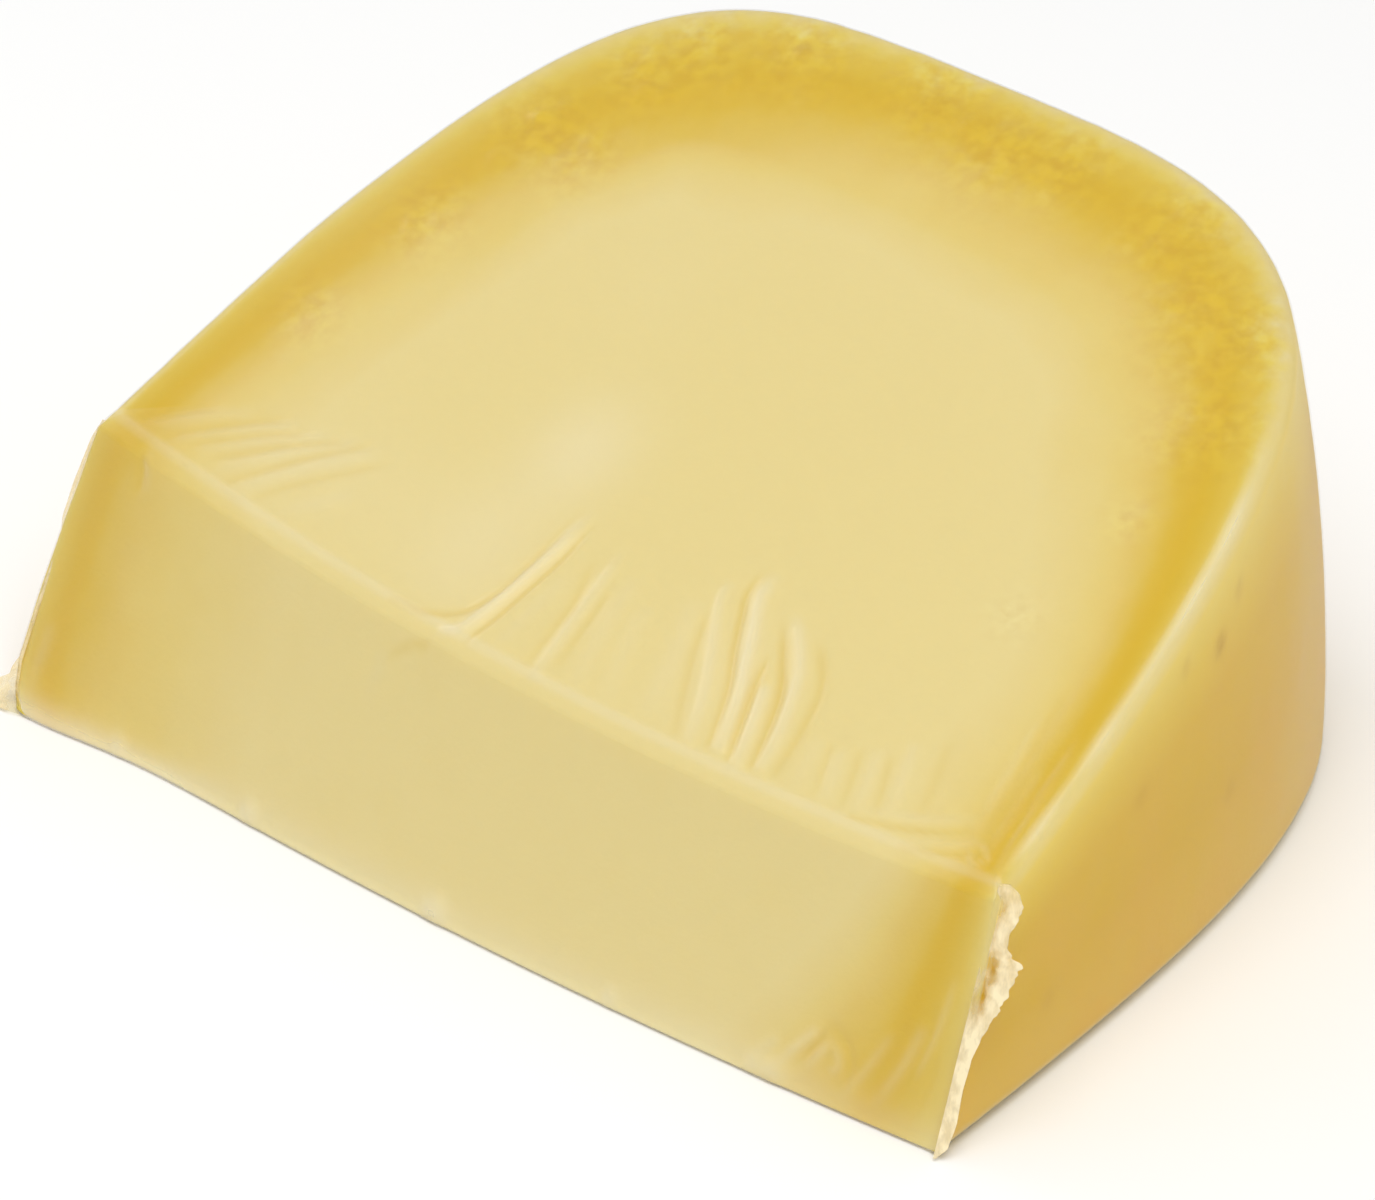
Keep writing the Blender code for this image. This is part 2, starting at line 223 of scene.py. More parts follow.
# The film follows the relief this much more strongly, and shines less over the waxy rind
FILM_RELIEF = 1.05
RIND_SHINE_LOST = 0.5

# Depth in the rind's direction at which the ripe band is most golden, by the direction from the cut's
# middle, in degrees from the right
RIPEST = (
    (-50, 2.8), (-23, 2.8), (-8, 4.0), (9, 5.5), (28, 6.8), (50, 7.5), (90, 6.7), (115, 8.0),
    (130, 10.3), (140, 11.2), (153, 9.4), (163, 7.4), (180, 6.3), (196, 5.0), (210, 4.2), (240, 4.2),
)
# Depth from which the paste is pale whatever the direction, and the length over which it gets so
PALE_DEPTH = 19.0
# On the nose cut: distance from its end in millimetres, and the band there in multiples of the ripest depth
NOSE_BAND = {
    "left": (
        (0.0, 0.1), (2.8, 0.7), (6.0, 1.5), (9.5, 2.05), (13.0, 2.45), (18.0, 2.9), (22.0, 3.4), (30.0, 5.0)
    ),
    "right": (
        (0.0, 0.22), (1.8, 0.48), (3.7, 1.0), (4.9, 1.5), (7.4, 2.1), (9.0, 2.9), (10.5, 4.0), (12.0, 5.0)
    ),
}
# How much further in the same band lies at the foot of the nose cut's right end
NOSE_BAND_LEAN = 1.3
# Colours across the band, from the rind inwards, by depth in multiples of the ripest depth. The two pale
# first stops, right beside the rind, paint in the highlight along the rounded rim.
BAND_COLOURS = (
    (0.02, "#d5c693"),
    (0.20, "#d6c170"),
    (0.36, "#d4bb56"),
    (0.50, "#d2b342"),
    (0.80, "#cfac30"),
    (1.00, "#cfaa2a"),
    (1.20, "#d0ab2f"),
    (1.40, "#d1ae38"),
    (1.60, "#d3b34a"),
    (1.85, "#d5b758"),
    (2.10, "#d7bb64"),
    (2.35, "#d9bf6b"),
    (2.70, "#dac271"),
    (3.20, "#dbc57a"),
    (4.00, "#dcc781"),
)
BAND_END = 5.0
# Colours down the rind, by the share of the height below the upper cut. Its paleness just below the upper cut
# and its darkening towards the middle are painted light and shade.
RIND_COLOURS = (
    (0.0, "#ebd278"),
    (0.07, "#e8cc60"),
    (0.16, "#e3c14a"),
    (0.30, "#dab239"),
    (0.60, "#d6ad36"),
    (1.0, "#ddb652"),
)
# Small reddish spots on the right-hand rind, as (r cos angle, height, size, strength)
RIND_SPOTS = (
    (93.1, 30.6, 1.0, 0.9),
    (86.6, 31.4, 0.7, 0.45),
    (79.1, 22.0, 1.1, 0.3),
    (64.7, 8.4, 1.0, 0.3),
    (95.6, 13.9, 1.1, 0.3),
    (96.9, 34.3, 0.8, 0.5),
)

# Patterns of the paste and the rind, as size in millimetres and detail. The film's crinkles among the
# blisters are about 0.3 mm wide and the paste's grain about 0.2 mm, too fine to show, so both are drawn
# coarser.
PATTERNS = {
    "crumbs": (2.0, 5.0),
    "clouds": (9.0, 4.0),
    "crinkles": (1.5, 3.0),
    "mottling": (14.0, 5.0),
    "grain": (0.7, 2.0),
}
# A weld's fibres are about 0.2 mm wide, too fine to show, so they are drawn this wide. They are stretched
# along the weld, whose height counts for this share.
FIBRE_SIZE = 1.0
FIBRE_STRETCH = 0.4
# A Mix node's colour sockets: the first and second colour, and the result
FIRST, SECOND, MIXED = 6, 7, 2

# The seams from foot to head: share up, width in millimetres, how milky
LEFT_WELD = (
    (0.0, 1.6, 0.40), (0.04, 2.5, 0.50), (0.09, 1.6, 0.50), (0.13, 0.3, 0.45), (0.20, -0.5, 0.45),
    (0.62, -0.5, 0.45), (0.72, 0.25, 0.60), (0.82, 0.5, 0.65), (0.94, 0.5, 0.70), (1.0, 0.1, 0.50),
)
RIGHT_WELD = (
    (0.0, -0.60, 0.85), (0.06, 0.20, 0.85), (0.16, 0.42, 0.88), (0.30, 0.26, 0.92), (0.42, 0.36, 0.92),
    (0.50, 0.70, 0.90), (0.56, 1.20, 0.90), (0.62, 1.75, 0.90), (0.68, 2.20, 0.88), (0.74, 2.55, 0.85),
    (0.765, 2.75, 0.75), (0.79, 1.70, 0.70), (0.82, 1.10, 0.75), (0.86, 1.05, 0.80), (0.90, 1.50, 0.80),
    (0.94, 1.60, 0.80), (0.97, 1.20, 0.65), (1.0, 0.10, 0.30),
)
# Each seam: its name, which end of the wheel's section it is on, how far up the cut it goes, the way it
# stands out, its stops, how far it waves from side to side in millimetres, and its seed
WELDS = (
    ("left_seam", 1, 0.965, (-1.0, -0.12, 0.0), LEFT_WELD, 0.06, 4),
    ("right_seam", 0, 1.0, (0.90, 0.43, 0.0), RIGHT_WELD, 0.30, 9),
)
# Places on the corner that a weld follows, its rings and columns, how far its root lies inside the corner,
# and half its thickness, in millimetres
WELD_CORNERS = 24
WELD_RINGS = 240
WELD_COLUMNS = 28
WELD_ROOT = 0.9
WELD_HALF_THICKNESS = 0.13

# The stage, in metres: a floor just below the piece, and square lamps as name, direction, distance, size
# and power in watts, aimed at one place
FLOOR_REACH = 1.5
FLOOR_DROP = 0.0002
LAMPS = (
    ("key_softbox", (0.25, -0.30, 0.92), 0.9, 0.7, 4.7),
    ("fold_softbox", (-0.85, 0.05, 0.52), 0.8, 0.3, 0.6),
)
LAMPS_AIM = Vector((0.0, 0.0, 0.02))
ROOM_BRIGHTNESS = 0.60
CAMERA_TARGET = Vector((0.0077, -0.0205, 0.025))
CAMERA_AZIMUTH = math.radians(38.73)
CAMERA_ELEVATION = math.radians(30.24)
CAMERA_DISTANCE = 0.5292
CAMERA_LENS = 150.0
CAMERA_SENSOR = 36.0
CAMERA_NEAREST = 0.01


def linear(hex_colour):
    """An sRGB colour such as #ead795 as linear red, green and blue."""
    parts = [int(hex_colour[i : i + 2], 16) / 255 for i in (1, 3, 5)]
    return tuple(c / 12.92 if c <= 0.04045 else ((c + 0.055) / 1.055) ** 2.4 for c in parts)


class GoudaSizes(bpy.types.PropertyGroup):
    """Sizes of the cheese and its film."""

    wheel_height: bpy.props.FloatProperty(
        name="Wheel height", description="Height of the whole wheel", default=0.115, unit="LENGTH"
    )
    wheel_radius: bpy.props.FloatProperty(
        name="Wheel radius", description="Radius of the whole wheel", default=0.145, unit="LENGTH"
    )
    sector_angle: bpy.props.FloatProperty(
        name="Sector angle",
        description="Angle between the two cuts",
        default=math.radians(22.5),
        subtype="ANGLE",
    )
    edge_round: bpy.props.FloatProperty(
        name="Edge rounding", description="Radius of the cuts' edges", default=0.0019, unit="LENGTH"
    )
    corner_round: bpy.props.FloatProperty(
        name="Corner rounding",
        description="How far the upright corners are rounded",
        default=0.0005,
        unit="LENGTH",
    )
    film_gap: bpy.props.FloatProperty(
        name="Film gap", description="How far the cheese lies inside the film", default=0.00014, unit="LENGTH"
    )
    fold_height: bpy.props.FloatProperty(
        name="Fold height",
        description="Height of the strongest folds of the film",
        default=0.00042,
        unit="LENGTH",
    )
    blister_height: bpy.props.FloatProperty(
        name="Blister height",
        description="Height of the blisters under the film",
        default=0.00014,
        unit="LENGTH",
    )


class GoudaColours(bpy.types.PropertyGroup):
    """Colours of the cheese and its film."""

    paste: bpy.props.FloatVectorProperty(
        name="Paste", description="The pale middle of the cheese", default=linear("#ddca88"), subtype="COLOR"
    )
    rosy: bpy.props.FloatVectorProperty(
        name="Rosy mottling", description="Mottling of the rind", default=linear("#dcab4a"), subtype="COLOR"
    )


class Wheel:
    """The wheel and the sector cut from it, in millimetres."""

    def __init__(self, sizes):
        self.half_height = sizes.wheel_height / MM / 2
        self.radius = sizes.wheel_radius / MM
        self.sector = sizes.sector_angle
        self.edge = sizes.edge_round / MM
        self.corner = sizes.corner_round / MM
        t = np.linspace(0.0, math.pi, SECTION_SAMPLES)
        on_right = np.cos(t) >= 0
        across = np.where(on_right, SQUARENESS["right"][0], SQUARENESS["left"][0])
        out = np.where(on_right, SQUARENESS["right"][1], SQUARENESS["left"][1])
        x = np.sign(np.cos(t)) * np.abs(np.cos(t)) ** (2 / across) * self.half_height
        r = CORE_RADIUS + (self.rim_radius(x) - CORE_RADIUS) * np.abs(np.sin(t)) ** (2 / out)
        self.section = np.stack([x, r], axis=1)
        steps = np.hypot(np.diff(x), np.diff(r))
        self.length = np.concatenate([[0.0], np.cumsum(steps)])
        self.heading = np.gradient(self.section, self.length, axis=0)
        self.heading /= np.linalg.norm(self.heading, axis=1, keepdims=True)

    def rim_radius(self, x):
        """The wheel's full radius at x: a straight line, a little fuller on the left."""
        return self.radius + CROWN_SLOPE * x

    def nose_radius(self, x, angle):
        """Radius of the nose cut: one straight line at each x, between a parabola on either radial cut."""
        u = x / self.half_height
        top = NOSE_TOP_RADIUS + NOSE_TOP_BOW * (u - NOSE_TOP_LEAST) ** 2
        bottom = NOSE_BOTTOM_RADIUS + NOSE_BOTTOM_BOW * (u - NOSE_BOTTOM_LEAST) ** 2
        rise = top * np.sin(self.sector)
        lean = top * np.cos(self.sector) - bottom
        return bottom * rise / (rise * np.cos(angle) - lean * np.sin(angle))

    def on_section(self, lengths):
        """Places and headings on the wheel's section, interpolated at those lengths along it."""
        place = np.stack([np.interp(lengths, self.length, self.section[:, i]) for i in (0, 1)], axis=1)
        heading = np.stack([np.interp(lengths, self.length, self.heading[:, i]) for i in (0, 1)], axis=1)
        return place, heading / np.linalg.norm(heading, axis=1, keepdims=True)

    def on_nose(self, x, angle_at):
        """Places and headings on the nose cut at those x, from left to right, by central differences."""
        def radius(at):
            return self.nose_radius(at, angle_at(self.nose_radius(at, self.sector / 2)))

        place = np.stack([x, radius(x)], axis=1)
        heading = np.stack([np.ones_like(x), (radius(x + 0.5) - radius(x - 0.5))], axis=1)
        return place, heading / np.linalg.norm(heading, axis=1, keepdims=True)

    def corner_lengths(self, angle_at):
        """Lengths along the wheel's section at which the nose cuts it, on the right and on the left."""
        x, r = self.section.T
        gap = r - self.nose_radius(x, angle_at(r))
        kept = np.nonzero(gap > 0)[0]
        if len(kept) == 0:
            raise ValueError("The nose cut leaves nothing of the wheel: make the wheel's radius larger")
        return np.array(
            [
                np.interp(0.0, gap[[outer, inner]], self.length[[outer, inner]])
                for outer, inner in ((kept[0] - 1, kept[0]), (kept[-1] + 1, kept[-1]))
            ]
        )

    def outline(self, share, offset, inset):
        """One ring of places (x, r) and offsets: right corner, wheel, left corner, nose, drawn in by inset.

        The ring lies on the radial planes at share times the sector plus offset over r; the nose's offset and
        inset are smaller. Each part ends before the corner by more than the other's inset, so that they don't
        cross, and the corner is a rational quadratic curve between the ends, whose middle point is where
        their headings meet."""
        def angle_at(r):
            return share * self.sector + offset / r

        ends = self.corner_lengths(angle_at)
        cut = self.corner + CORNER_CLEARANCE * NOSE_EDGE * inset
        lengths = np.linspace(ends[0] + cut, ends[1] - cut, WHEEL_COLUMNS)
        wheel, wheel_heading = self.on_section(lengths)
        meet = self.on_section(ends)[0][:, 0]
        cut = self.corner + CORNER_CLEARANCE * inset
        nose_x = np.linspace(meet[1] + cut, meet[0] - cut, NOSE_COLUMNS)
        nose, nose_heading = self.on_nose(nose_x, angle_at)
        wheel = wheel - inset * turned(wheel_heading)
        nose = nose - NOSE_EDGE * inset * turned(nose_heading)
        right = corner_curve(nose[-1], nose_heading[-1], wheel[0], wheel_heading[0])
        left = corner_curve(wheel[-1], wheel_heading[-1], nose[0], nose_heading[0])
        share_across = np.arange(1, CORNER_COLUMNS + 1) / (CORNER_COLUMNS + 1)
        to_wheel = NOSE_EDGE + (1 - NOSE_EDGE) * share_across
        parts = (to_wheel, np.ones(WHEEL_COLUMNS), to_wheel[::-1], np.full(NOSE_COLUMNS, NOSE_EDGE))
        places = np.concatenate([right, wheel, left, nose])
        return np.column_stack([places, offset * np.concatenate(parts)])

    def sag(self, x, r, share):
        """How far a place has sagged to the left and forwards: SAG at its share of the height, times bells
        along the nose and along the rind."""
        near = bell(x + self.half_height, SAG_ALONG_NOSE) * bell(r - NOSE_BOTTOM_RADIUS, SAG_ALONG_RIND)
        shares, left, forwards = np.array(SAG).T
        return np.interp(share, shares, left) * near, np.interp(share, shares, forwards) * near

    def place(self, x, r, angle):
        """Wheel terms to millimetres in the part's own frame: (x, r cos angle, r sin angle) less sag and
        origin."""
        left, forwards = self.sag(x, r, angle / self.sector)
        return np.stack([x - left, r * np.cos(angle) - forwards, r * np.sin(angle)], axis=-1) - ORIGIN


def bell(distance, width):
    """The bell curve exp(-(distance/width)^2), which is 1 in its middle."""
    return np.exp(-((distance / width) ** 2))


def turned(heading):
    """Headings turned a quarter clockwise, which is outwards on a ring that runs counter-clockwise."""
    return np.stack([heading[:, 1], -heading[:, 0]], axis=1)


def corner_curve(start, start_heading, end, end_heading):
    """Places between two ends: (1-u)^2 start + 2 w u (1-u) middle + u^2 end, over the sum of those weights,
    where w is the cosine of half the turn and the middle is where the ends' headings meet."""
    turn = start_heading[0] * end_heading[1] - start_heading[1] * end_heading[0]
    chord = end - start
    reach = (chord[0] * end_heading[1] - chord[1] * end_heading[0]) / turn
    middle = start + start_heading * reach
    weight = math.sqrt((1 + float(start_heading @ end_heading)) / 2)
    u = (np.arange(1, CORNER_COLUMNS + 1) / (CORNER_COLUMNS + 1))[:, None]
    parts = ((1 - u) ** 2, 2 * weight * u * (1 - u), u**2)
    return (parts[0] * start + parts[1] * middle + parts[2] * end) / sum(parts)


class Surface:
    """The whole closed surface of the piece as rings of columns, from the middle of the lower cut to the
    upper one's, in millimetres.

    Ring k and column s give x, r and angle: straight spokes on either cut, a quarter circle over either edge
    (drawn in by e (1 - sin p), away from the cut by e (1 - cos p)), and evenly turned planes up the wall.
    Besides its points and normals it has, for each place: on_nose, whether it is on the nose cut; wall, from
    0 on either cut to 1 between them; back, how far behind the front edge of the upper cut it lies; and
    depth, how far inside the rind."""

    def __init__(self, wheel):
        edge = wheel.edge
        quarter = np.radians(np.linspace(0, 90, EDGE_RINGS))
        rings = [(0.0, edge * (1 - math.cos(p)), edge * (1 - math.sin(p))) for p in quarter]
        rings += [(share, edge * (1 - 2 * share), 0.0) for share in WALL_RINGS]
        rings += [(1.0, -edge * (1 - math.cos(p)), edge * (1 - math.sin(p))) for p in quarter[::-1]]
        outlines = np.array([wheel.outline(*ring) for ring in rings])
        shares = np.array([ring[0] for ring in rings])[:, None]
        turned_to = shares * wheel.sector + outlines[..., 2] / outlines[..., 1]
        outlines = outlines[..., :2]
        middle = np.array((MIDDLE_X, MIDDLE_RADIUS))
        low = outlines[0] + (middle - outlines[0]) * LOWER_CUT_RINGS[:, None, None]
        high = outlines[-1] + (middle - outlines[-1]) * UPPER_CUT_RINGS[:, None, None]
        places = np.concatenate([low, outlines, high])
        self.x, self.r = places[..., 0], places[..., 1]
        self.angle = np.concatenate(
            [np.zeros(low.shape[:2]), turned_to, np.full(high.shape[:2], wheel.sector)]
        )
        self.first = wheel.place(MIDDLE_X, MIDDLE_RADIUS, 0.0)
        self.last = wheel.place(MIDDLE_X, MIDDLE_RADIUS, wheel.sector)
        self.points = wheel.place(self.x, self.r, self.angle)
        self.normals = self.outward()
        count = self.x.shape[1]
        column = np.arange(count)
        self.on_nose = (column >= count - NOSE_COLUMNS - CORNER_COLUMNS // 2) | (column < CORNER_COLUMNS // 2)
        above = self.angle * self.r
        under = (wheel.sector - self.angle) * self.r
        self.wall = np.clip(above / edge, 0, 1) * np.clip(under / edge, 0, 1)
        self.back = (self.r - wheel.nose_radius(self.x, self.angle)) - under
        self.depth = self.rind_depth(wheel)

    def outward(self):
        """Unit normals: the step to the next column crossed with the step to the next ring."""
        before = np.concatenate([np.broadcast_to(self.first, (1,) + self.points.shape[1:]), self.points[:-1]])
        after = np.concatenate([self.points[1:], np.broadcast_to(self.last, (1,) + self.points.shape[1:])])
        along = np.roll(self.points, -1, axis=1) - np.roll(self.points, 1, axis=1)
        normals = np.cross(along, after - before)
        return normals / np.linalg.norm(normals, axis=2, keepdims=True)

    def rind_depth(self, wheel):
        """How far inside the wheel's section each place lies, as the least distance to many places on it."""
        lengths = np.linspace(wheel.length[0], wheel.length[-1], RIND_SAMPLES)
        rind = wheel.on_section(lengths)[0]
        rind = rind[rind[:, 1] > NOSE_BOTTOM_RADIUS - RIND_OVERHANG]
        depth = [
            np.sqrt((x[:, None] - rind[:, 0]) ** 2 + (r[:, None] - rind[:, 1]) ** 2).min(axis=1)
            for x, r in zip(self.x, self.r)
        ]
        return np.array(depth)


def smooth_line(points):
    """A Catmull-Rom curve through the points: each stretch is the cubic whose ends head along their
    neighbours."""
    p = np.array(points, float)
    padded = np.concatenate([[2 * p[0] - p[1]], p, [2 * p[-1] - p[-2]]])
    t = np.linspace(0, len(p) - 1, FOLD_POINTS)
    i = np.minimum(t.astype(int), len(p) - 2)
    f = (t - i)[:, None]
    a, b, c, d = padded[i], padded[i + 1], padded[i + 2], padded[i + 3]
    return 0.5 * (2 * b + (c - a) * f + (2 * a - 5 * b + 4 * c - d) * f**2 + (3 * b - a - 3 * c + d) * f**3)


def along_line(x, y, line):
    """Distance of each place to a line, and the share of the line at which it lies nearest."""
    best = np.full(x.shape, 1e9)
    share = np.zeros(x.shape)
    for i, (start, end) in enumerate(zip(line, line[1:])):
        chord = end - start
        t = np.clip(((x - start[0]) * chord[0] + (y - start[1]) * chord[1]) / float(chord @ chord), 0, 1)
        distance = np.hypot(x - start[0] - t * chord[0], y - start[1] - t * chord[1])
        closer = distance < best
        best = np.where(closer, distance, best)
        share = np.where(closer, (i + t) / (len(line) - 1), share)
    return best, share


def folds(x, y, table):
    """The folds of a table together: each is a bell across its line, and along it rises quickly, as the root
    of sin(pi share) does, and ends over its last 15%. Returns the sum of all, the highest ridge and the
    deepest groove."""
    total = np.zeros(x.shape)
    crest = np.zeros(x.shape)
    dip = np.zeros(x.shape)
    for points, width, height in table:
        distance, share = along_line(x, y, smooth_line(points))
        taper = np.sin(np.pi * (0.10 + 0.80 * share)) ** 0.5 * np.clip((1 - share) / 0.15, 0, 1)
        rise = height * taper * bell(distance, width)
        total += rise
        crest = np.maximum(crest, rise)
        dip = np.maximum(dip, -rise)
    return total, crest, dip


def waves(x, y, z, seed, count, shortest, longest):
    """Smooth noise: the sum of seeded sine waves in any direction, whose wavelengths lie between shortest
    and longest, over the root of their number."""
    rng = np.random.default_rng(seed)
    total = np.zeros(np.shape(x))
    for _ in range(count):
        heading = rng.normal(size=3)
        heading *= 2 * math.pi / rng.uniform(shortest, longest) / np.linalg.norm(heading)
        total += np.sin(heading[0] * x + heading[1] * y + heading[2] * z + rng.uniform(0, 2 * math.pi))
    return total / math.sqrt(count)


def blisters(surface):
    """Small blisters under the film, drawn from a seed round each patch, as a sum of bells 0.7 to 1.4 mm
    wide, of which one in three is a dimple.

    Returns their height in units of one, and how much each place is inside a patch, as a bell 1.6 times as
    wide as the patch's spread."""
    rng = np.random.default_rng(BLISTER_SEED)
    height = np.zeros(surface.x.shape)
    patch = np.zeros(surface.x.shape)
    for x, back, spread, count in BLISTER_PATCHES:
        patch = np.maximum(patch, bell(np.hypot(surface.x - x, surface.back - back), 1.6 * spread))
        for _ in range(count):
            away = rng.normal(size=2) * spread * 0.8
            size = rng.uniform(0.7, 1.4)
            rise = rng.uniform(0.4, 1.0) * rng.choice((1.0, 1.0, -0.6))
            distance = np.hypot(surface.x - x - away[0], surface.back - back - away[1])
            height += rise * bell(distance, size)
    return height, patch


def edge_ribbon(wheel, surface, top):
    """The ribbon of film drawn up along the upper cut's right edge, from 0 to about 1: a bell 1 mm inside the
    rind, between the radii 64 and 117 mm, that varies in seeded waves 4 to 14 mm long."""
    ribbon = bell(surface.depth - 1.0, 0.55) * (surface.x > 30) * (surface.angle > wheel.sector * 0.96)
    ribbon *= np.clip((surface.r - 64) / 4, 0, 1) * np.clip((117 - surface.r) / 8, 0, 1) * top
    return ribbon * (1 + 0.30 * waves(*np.moveaxis(surface.points, 2, 0), 8, 8, 4, 14))


def relief(wheel, surface, sizes):
    """The relief of film and cheese over the smooth form: the folds, the bulges at the nose cut's foot, which
    are bells four tenths as high as wide, the blisters, slow swells, and the ribbon along the upper cut's
    right edge. It ends towards the table.

    Returns its height in millimetres; how far the film is lifted in ridges, from 0 to 1; how deep it lies in
    grooves, from 0 to 1; and how much each place is among the blisters."""
    strong = sizes.fold_height / MM
    free = np.clip(surface.angle * surface.r / (2 * wheel.edge), 0, 1)
    upper = np.clip((surface.angle / wheel.sector - 0.5) / 0.2, 0, 1)
    top = np.where(surface.on_nose, 1.0, 1 - surface.wall) * upper
    height = np.zeros(surface.x.shape)
    ridge = np.zeros(surface.x.shape)
    groove = np.zeros(surface.x.shape)
    up = surface.points[..., 2]
    near = (surface.back < FOLDS_BACK[1]) & (surface.back > FOLDS_BACK[0]) & (top > 0)
    front = surface.on_nose[None, :] & (surface.angle < wheel.sector) & (surface.angle > 0)
    for where, along, share, table in (
        (near, surface.back, top, CORNER_FAN + MIDDLE_FOLDS + LEAF_FOLDS + RIGHT_FOLDS),
        (front, up, np.ones(top.shape), FRONT_FOLDS),
    ):
        total, crest, dip = folds(surface.x[where], along[where], table)
        height[where] += total * strong * share[where]
        ridge[where] += crest * share[where]
        groove[where] += dip * share[where]
    bulge = np.zeros(surface.x.shape)
    for x, size in FOOT_BULGES:
        distance = np.hypot(surface.x[front] - x, up[front] - BULGES_UP)
        bulge[front] += 0.4 * size * bell(distance, size) * np.clip(up[front] / 0.6, 0, 1)
    bumps, patch = blisters(surface)
    height += bumps * (sizes.blister_height / MM) * top
    for swell, *kind in SWELLS:
        height += swell * waves(*np.moveaxis(surface.points, 2, 0), *kind)
    ribbon = edge_ribbon(wheel, surface, top)
    height += RIBBON_HEIGHT * ribbon
    # The ribbon's milkiness, through the ridge number, paints in the highlight along the right edge
    ridge = np.maximum(ridge, RIBBON_MILK_AND_HIGHLIGHT * ribbon)
    return height * free + bulge, ridge * free + bulge, groove * free, patch * top


def band(wheel, surface):
    """How far each place lies in the ripe band, in multiples of the depth at which the band is most golden.

    On the upper and lower cut it is the depth over the ripest depth in that direction, on the nose cut the
    distance from its end read off NOSE_BAND, and over the rounded edge it goes from one to the other. Well
    inside it ends."""
    toward = np.degrees(np.arctan2(surface.r - MIDDLE_RADIUS, surface.x - MIDDLE_X))
    toward = np.where(toward < -90, toward + 360, toward)
    ripest = np.interp(toward, *np.array(RIPEST, float).T)
    on_cut = surface.depth / ripest + BAND_END * np.clip((surface.depth - PALE_DEPTH) / PALE_DEPTH, 0, 1)
    inwards = wheel.half_height - np.abs(surface.x)
    lean = 1 + NOSE_BAND_LEAN * (1 - surface.angle / wheel.sector)
    on_front = np.where(
        surface.x > 0,
        np.interp(inwards / lean, *np.array(NOSE_BAND["right"]).T),
        np.interp(inwards, *np.array(NOSE_BAND["left"]).T),
    )
    below = np.clip((wheel.sector - surface.angle) * surface.r / (NOSE_EDGE * wheel.edge), 0, 1)
    return np.where(surface.on_nose[None, :], on_cut + (on_front - on_cut) * below, on_cut)


def spots(surface):
    """The rind's small spots on the right-hand side, as bells, from 0 to 1."""
    along = surface.points[..., 1] + ORIGIN[1]
    up = surface.points[..., 2]
    total = np.zeros(surface.x.shape)
    for y, z, size, strength in RIND_SPOTS:
        total += strength * bell(np.hypot(along - y, up - z), size)
    return total * (surface.x > 0)


def film_haze(surface, ridge, groove, patch):
    """How milky the film is, from 0 to 1, at places in millimetres.

    It is the sum of a share of the ridge, groove and patch numbers, and of the sheens, which are bells on the
    upper cut. The ridge share makes folded film milky and also paints in the highlights on the fold crests
    and on the ribbon along the right edge. The groove share is a little painted shade, and the sheens are
    painted sheen. On the nose cut come bells at the right corner, which also paint light over the shade
    beside the seam; along the upper edge, a painted highlight; and at the foot, where the left end is milkier
    and lower. There is also a veil that falls off as exp(-height/7) and sets in again at the left corner."""
    sheen = np.zeros(surface.x.shape)
    for x, back, wide, deep, share in SHEENS:
        sheen += share * bell(surface.x - x, wide) * bell(surface.back - back, deep)
    sheen *= np.clip((surface.back + 1) / 3, 0, 1) * (1 - surface.wall)
    # Milkier film by the right corner, which also paints light over the shade beside the seam
    from_corner = np.where(surface.on_nose, surface.x, -np.inf).max(axis=1, keepdims=True) - surface.x
    corner = 0.6 * bell(from_corner, 0.9) + 0.25 * bell(from_corner, 4.0)
    corner *= surface.on_nose & (surface.back < 0)
    # The ridge share paints in highlights on the fold crests, the groove share a little shade in the grooves,
    # and the sheens a painted sheen
    haze = CLEAR_HAZE + 0.25 * ridge - 0.02 * groove + 0.01 * patch + sheen + 0.12 * corner
    up = surface.points[..., 2]
    left_end = np.clip((-28 - surface.x) / 10, 0, 1)
    foot = (0.12 + 0.20 * left_end) * bell(up, 2.4 - 0.9 * left_end)
    veil = 0.05 * np.exp(-up / 7) * (1 - 0.7 * left_end) + 0.05 * np.clip((-47 - surface.x) / 7, 0, 1)
    # A painted highlight along the nose cut's upper edge
    edge_highlight = 0.13 * bell(surface.back + 0.2, 0.5)
    haze += (edge_highlight + foot + veil) * surface.on_nose
    return np.clip(haze, 0, 1)


